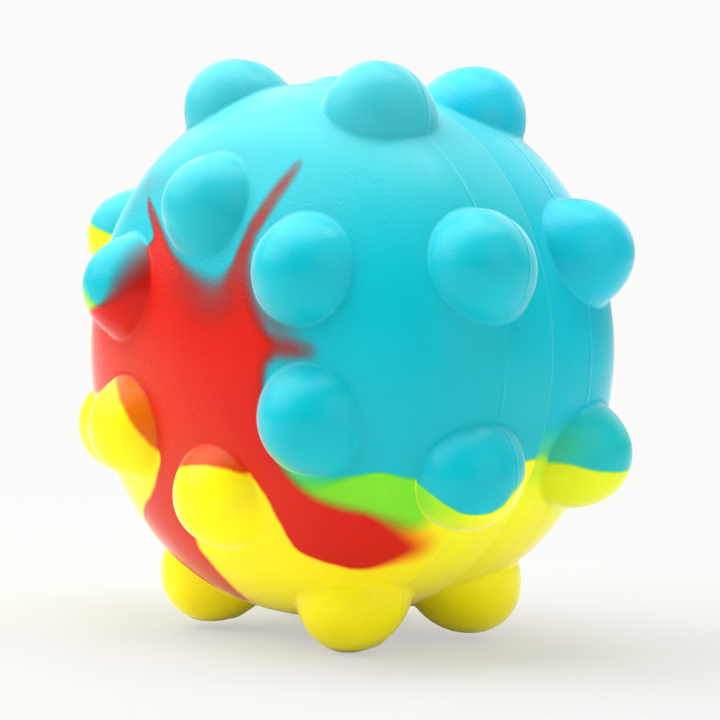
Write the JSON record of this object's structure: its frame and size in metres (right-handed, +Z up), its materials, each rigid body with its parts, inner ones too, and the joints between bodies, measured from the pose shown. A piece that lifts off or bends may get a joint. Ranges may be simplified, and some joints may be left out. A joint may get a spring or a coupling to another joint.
{
  "type": "sensory ball",
  "caption": "Hollow silicone sensory ball of two glued half shells, with rings of domed bubbles that pop inward under a fingertip and hold the ball off the table.",
  "frame": {"origin": "on the surface that the ball stands on, straight below the middle of the ball", "axes": "+Z up, -Y out through the front half's pole, so the seam lies in the XZ plane; +X to the right seen from the front"},
  "size_m": [0.0712, 0.0568, 0.0712],
  "materials": {
    "turquoise_silicone": "satin moulded silicone, swirled turquoise, red and yellow",
    "yellow_silicone": "satin moulded silicone, yellow"
  },
  "bodies": {
    "shell": {"front_half_shell": "turquoise_silicone", "back_half_shell": "turquoise_silicone"},
    "front_pole_bubble_1": {"front_pole_bubble_1": "turquoise_silicone"},
    "front_pole_bubble_2": {"front_pole_bubble_2": "turquoise_silicone"},
    "front_pole_bubble_3": {"front_pole_bubble_3": "turquoise_silicone"},
    "front_pole_bubble_4": {"front_pole_bubble_4": "yellow_silicone"},
    "front_pole_bubble_5": {"front_pole_bubble_5": "turquoise_silicone"},
    "front_pole_bubble_6": {"front_pole_bubble_6": "turquoise_silicone"},
    "front_rim_bubble_1": {"front_rim_bubble_1": "turquoise_silicone"},
    "front_rim_bubble_2": {"front_rim_bubble_2": "turquoise_silicone"},
    "front_rim_bubble_3": {"front_rim_bubble_3": "yellow_silicone"},
    "front_rim_bubble_4": {"front_rim_bubble_4": "yellow_silicone"},
    "front_rim_bubble_5": {"front_rim_bubble_5": "yellow_silicone"},
    "front_rim_bubble_6": {"front_rim_bubble_6": "turquoise_silicone"},
    "front_rim_bubble_7": {"front_rim_bubble_7": "turquoise_silicone"},
    "front_rim_bubble_8": {"front_rim_bubble_8": "turquoise_silicone"},
    "back_pole_bubble_1": {"back_pole_bubble_1": "turquoise_silicone"},
    "back_pole_bubble_2": {"back_pole_bubble_2": "turquoise_silicone"},
    "back_pole_bubble_3": {"back_pole_bubble_3": "turquoise_silicone"},
    "back_pole_bubble_4": {"back_pole_bubble_4": "yellow_silicone"},
    "back_pole_bubble_5": {"back_pole_bubble_5": "turquoise_silicone"},
    "back_pole_bubble_6": {"back_pole_bubble_6": "turquoise_silicone"},
    "back_rim_bubble_1": {"back_rim_bubble_1": "turquoise_silicone"},
    "back_rim_bubble_2": {"back_rim_bubble_2": "turquoise_silicone"},
    "back_rim_bubble_3": {"back_rim_bubble_3": "turquoise_silicone"},
    "back_rim_bubble_4": {"back_rim_bubble_4": "yellow_silicone"},
    "back_rim_bubble_5": {"back_rim_bubble_5": "yellow_silicone"},
    "back_rim_bubble_6": {"back_rim_bubble_6": "yellow_silicone"},
    "back_rim_bubble_7": {"back_rim_bubble_7": "turquoise_silicone"},
    "back_rim_bubble_8": {"back_rim_bubble_8": "turquoise_silicone"}
  },
  "joints": [
    {"name": "front_pole_bubble_1_press", "type": "slide", "parent": "shell", "child": "front_pole_bubble_1", "axis": [0.0299, 0.9537, -0.2992], "range_m": [0, 0.01], "deforming": ["front_pole_bubble_1"]},
    {"name": "front_pole_bubble_2_press", "type": "slide", "parent": "shell", "child": "front_pole_bubble_2", "axis": [-0.2442, 0.9537, -0.1755], "range_m": [0, 0.01], "deforming": ["front_pole_bubble_2"]},
    {"name": "front_pole_bubble_3_press", "type": "slide", "parent": "shell", "child": "front_pole_bubble_3", "axis": [-0.2741, 0.9537, 0.1237], "range_m": [0, 0.01], "deforming": ["front_pole_bubble_3"]},
    {"name": "front_pole_bubble_4_press", "type": "slide", "parent": "shell", "child": "front_pole_bubble_4", "axis": [-0.0299, 0.9537, 0.2992], "range_m": [0, 0.01], "deforming": ["front_pole_bubble_4"]},
    {"name": "front_pole_bubble_5_press", "type": "slide", "parent": "shell", "child": "front_pole_bubble_5", "axis": [0.2442, 0.9537, 0.1755], "range_m": [0, 0.01], "deforming": ["front_pole_bubble_5"]},
    {"name": "front_pole_bubble_6_press", "type": "slide", "parent": "shell", "child": "front_pole_bubble_6", "axis": [0.2741, 0.9537, -0.1237], "range_m": [0, 0.01], "deforming": ["front_pole_bubble_6"]},
    {"name": "front_rim_bubble_1_press", "type": "slide", "parent": "shell", "child": "front_rim_bubble_1", "axis": [-0.3034, 0.6756, -0.672], "range_m": [0, 0.01], "deforming": ["front_rim_bubble_1"]},
    {"name": "front_rim_bubble_2_press", "type": "slide", "parent": "shell", "child": "front_rim_bubble_2", "axis": [-0.6897, 0.6756, -0.2606], "range_m": [0, 0.01], "deforming": ["front_rim_bubble_2"]},
    {"name": "front_rim_bubble_3_press", "type": "slide", "parent": "shell", "child": "front_rim_bubble_3", "axis": [-0.672, 0.6756, 0.3034], "range_m": [0, 0.01], "deforming": ["front_rim_bubble_3"]},
    {"name": "front_rim_bubble_4_press", "type": "slide", "parent": "shell", "child": "front_rim_bubble_4", "axis": [-0.2606, 0.6756, 0.6897], "range_m": [0, 0.01], "deforming": ["front_rim_bubble_4"]},
    {"name": "front_rim_bubble_5_press", "type": "slide", "parent": "shell", "child": "front_rim_bubble_5", "axis": [0.3034, 0.6756, 0.672], "range_m": [0, 0.01], "deforming": ["front_rim_bubble_5"]},
    {"name": "front_rim_bubble_6_press", "type": "slide", "parent": "shell", "child": "front_rim_bubble_6", "axis": [0.6897, 0.6756, 0.2606], "range_m": [0, 0.01], "deforming": ["front_rim_bubble_6"]},
    {"name": "front_rim_bubble_7_press", "type": "slide", "parent": "shell", "child": "front_rim_bubble_7", "axis": [0.672, 0.6756, -0.3034], "range_m": [0, 0.01], "deforming": ["front_rim_bubble_7"]},
    {"name": "front_rim_bubble_8_press", "type": "slide", "parent": "shell", "child": "front_rim_bubble_8", "axis": [0.2606, 0.6756, -0.6897], "range_m": [0, 0.01], "deforming": ["front_rim_bubble_8"]},
    {"name": "back_pole_bubble_1_press", "type": "slide", "parent": "shell", "child": "back_pole_bubble_1", "axis": [0.0486, -0.9537, -0.2968], "range_m": [0, 0.01], "deforming": ["back_pole_bubble_1"]},
    {"name": "back_pole_bubble_2_press", "type": "slide", "parent": "shell", "child": "back_pole_bubble_2", "axis": [-0.2327, -0.9537, -0.1905], "range_m": [0, 0.01], "deforming": ["back_pole_bubble_2"]},
    {"name": "back_pole_bubble_3_press", "type": "slide", "parent": "shell", "child": "back_pole_bubble_3", "axis": [-0.2813, -0.9537, 0.1063], "range_m": [0, 0.01], "deforming": ["back_pole_bubble_3"]},
    {"name": "back_pole_bubble_4_press", "type": "slide", "parent": "shell", "child": "back_pole_bubble_4", "axis": [-0.0486, -0.9537, 0.2968], "range_m": [0, 0.01], "deforming": ["back_pole_bubble_4"]},
    {"name": "back_pole_bubble_5_press", "type": "slide", "parent": "shell", "child": "back_pole_bubble_5", "axis": [0.2327, -0.9537, 0.1905], "range_m": [0, 0.01], "deforming": ["back_pole_bubble_5"]},
    {"name": "back_pole_bubble_6_press", "type": "slide", "parent": "shell", "child": "back_pole_bubble_6", "axis": [0.2813, -0.9537, -0.1063], "range_m": [0, 0.01], "deforming": ["back_pole_bubble_6"]},
    {"name": "back_rim_bubble_1_press", "type": "slide", "parent": "shell", "child": "back_rim_bubble_1", "axis": [-0.2606, -0.6756, -0.6897], "range_m": [0, 0.01], "deforming": ["back_rim_bubble_1"]},
    {"name": "back_rim_bubble_2_press", "type": "slide", "parent": "shell", "child": "back_rim_bubble_2", "axis": [-0.672, -0.6756, -0.3034], "range_m": [0, 0.01], "deforming": ["back_rim_bubble_2"]},
    {"name": "back_rim_bubble_3_press", "type": "slide", "parent": "shell", "child": "back_rim_bubble_3", "axis": [-0.6897, -0.6756, 0.2606], "range_m": [0, 0.01], "deforming": ["back_rim_bubble_3"]},
    {"name": "back_rim_bubble_4_press", "type": "slide", "parent": "shell", "child": "back_rim_bubble_4", "axis": [-0.3034, -0.6756, 0.672], "range_m": [0, 0.01], "deforming": ["back_rim_bubble_4"]},
    {"name": "back_rim_bubble_5_press", "type": "slide", "parent": "shell", "child": "back_rim_bubble_5", "axis": [0.2606, -0.6756, 0.6897], "range_m": [0, 0.01], "deforming": ["back_rim_bubble_5"]},
    {"name": "back_rim_bubble_6_press", "type": "slide", "parent": "shell", "child": "back_rim_bubble_6", "axis": [0.672, -0.6756, 0.3034], "range_m": [0, 0.01], "deforming": ["back_rim_bubble_6"]},
    {"name": "back_rim_bubble_7_press", "type": "slide", "parent": "shell", "child": "back_rim_bubble_7", "axis": [0.6897, -0.6756, -0.2606], "range_m": [0, 0.01], "deforming": ["back_rim_bubble_7"]},
    {"name": "back_rim_bubble_8_press", "type": "slide", "parent": "shell", "child": "back_rim_bubble_8", "axis": [0.3034, -0.6756, -0.672], "range_m": [0, 0.01], "deforming": ["back_rim_bubble_8"]}
  ]
}
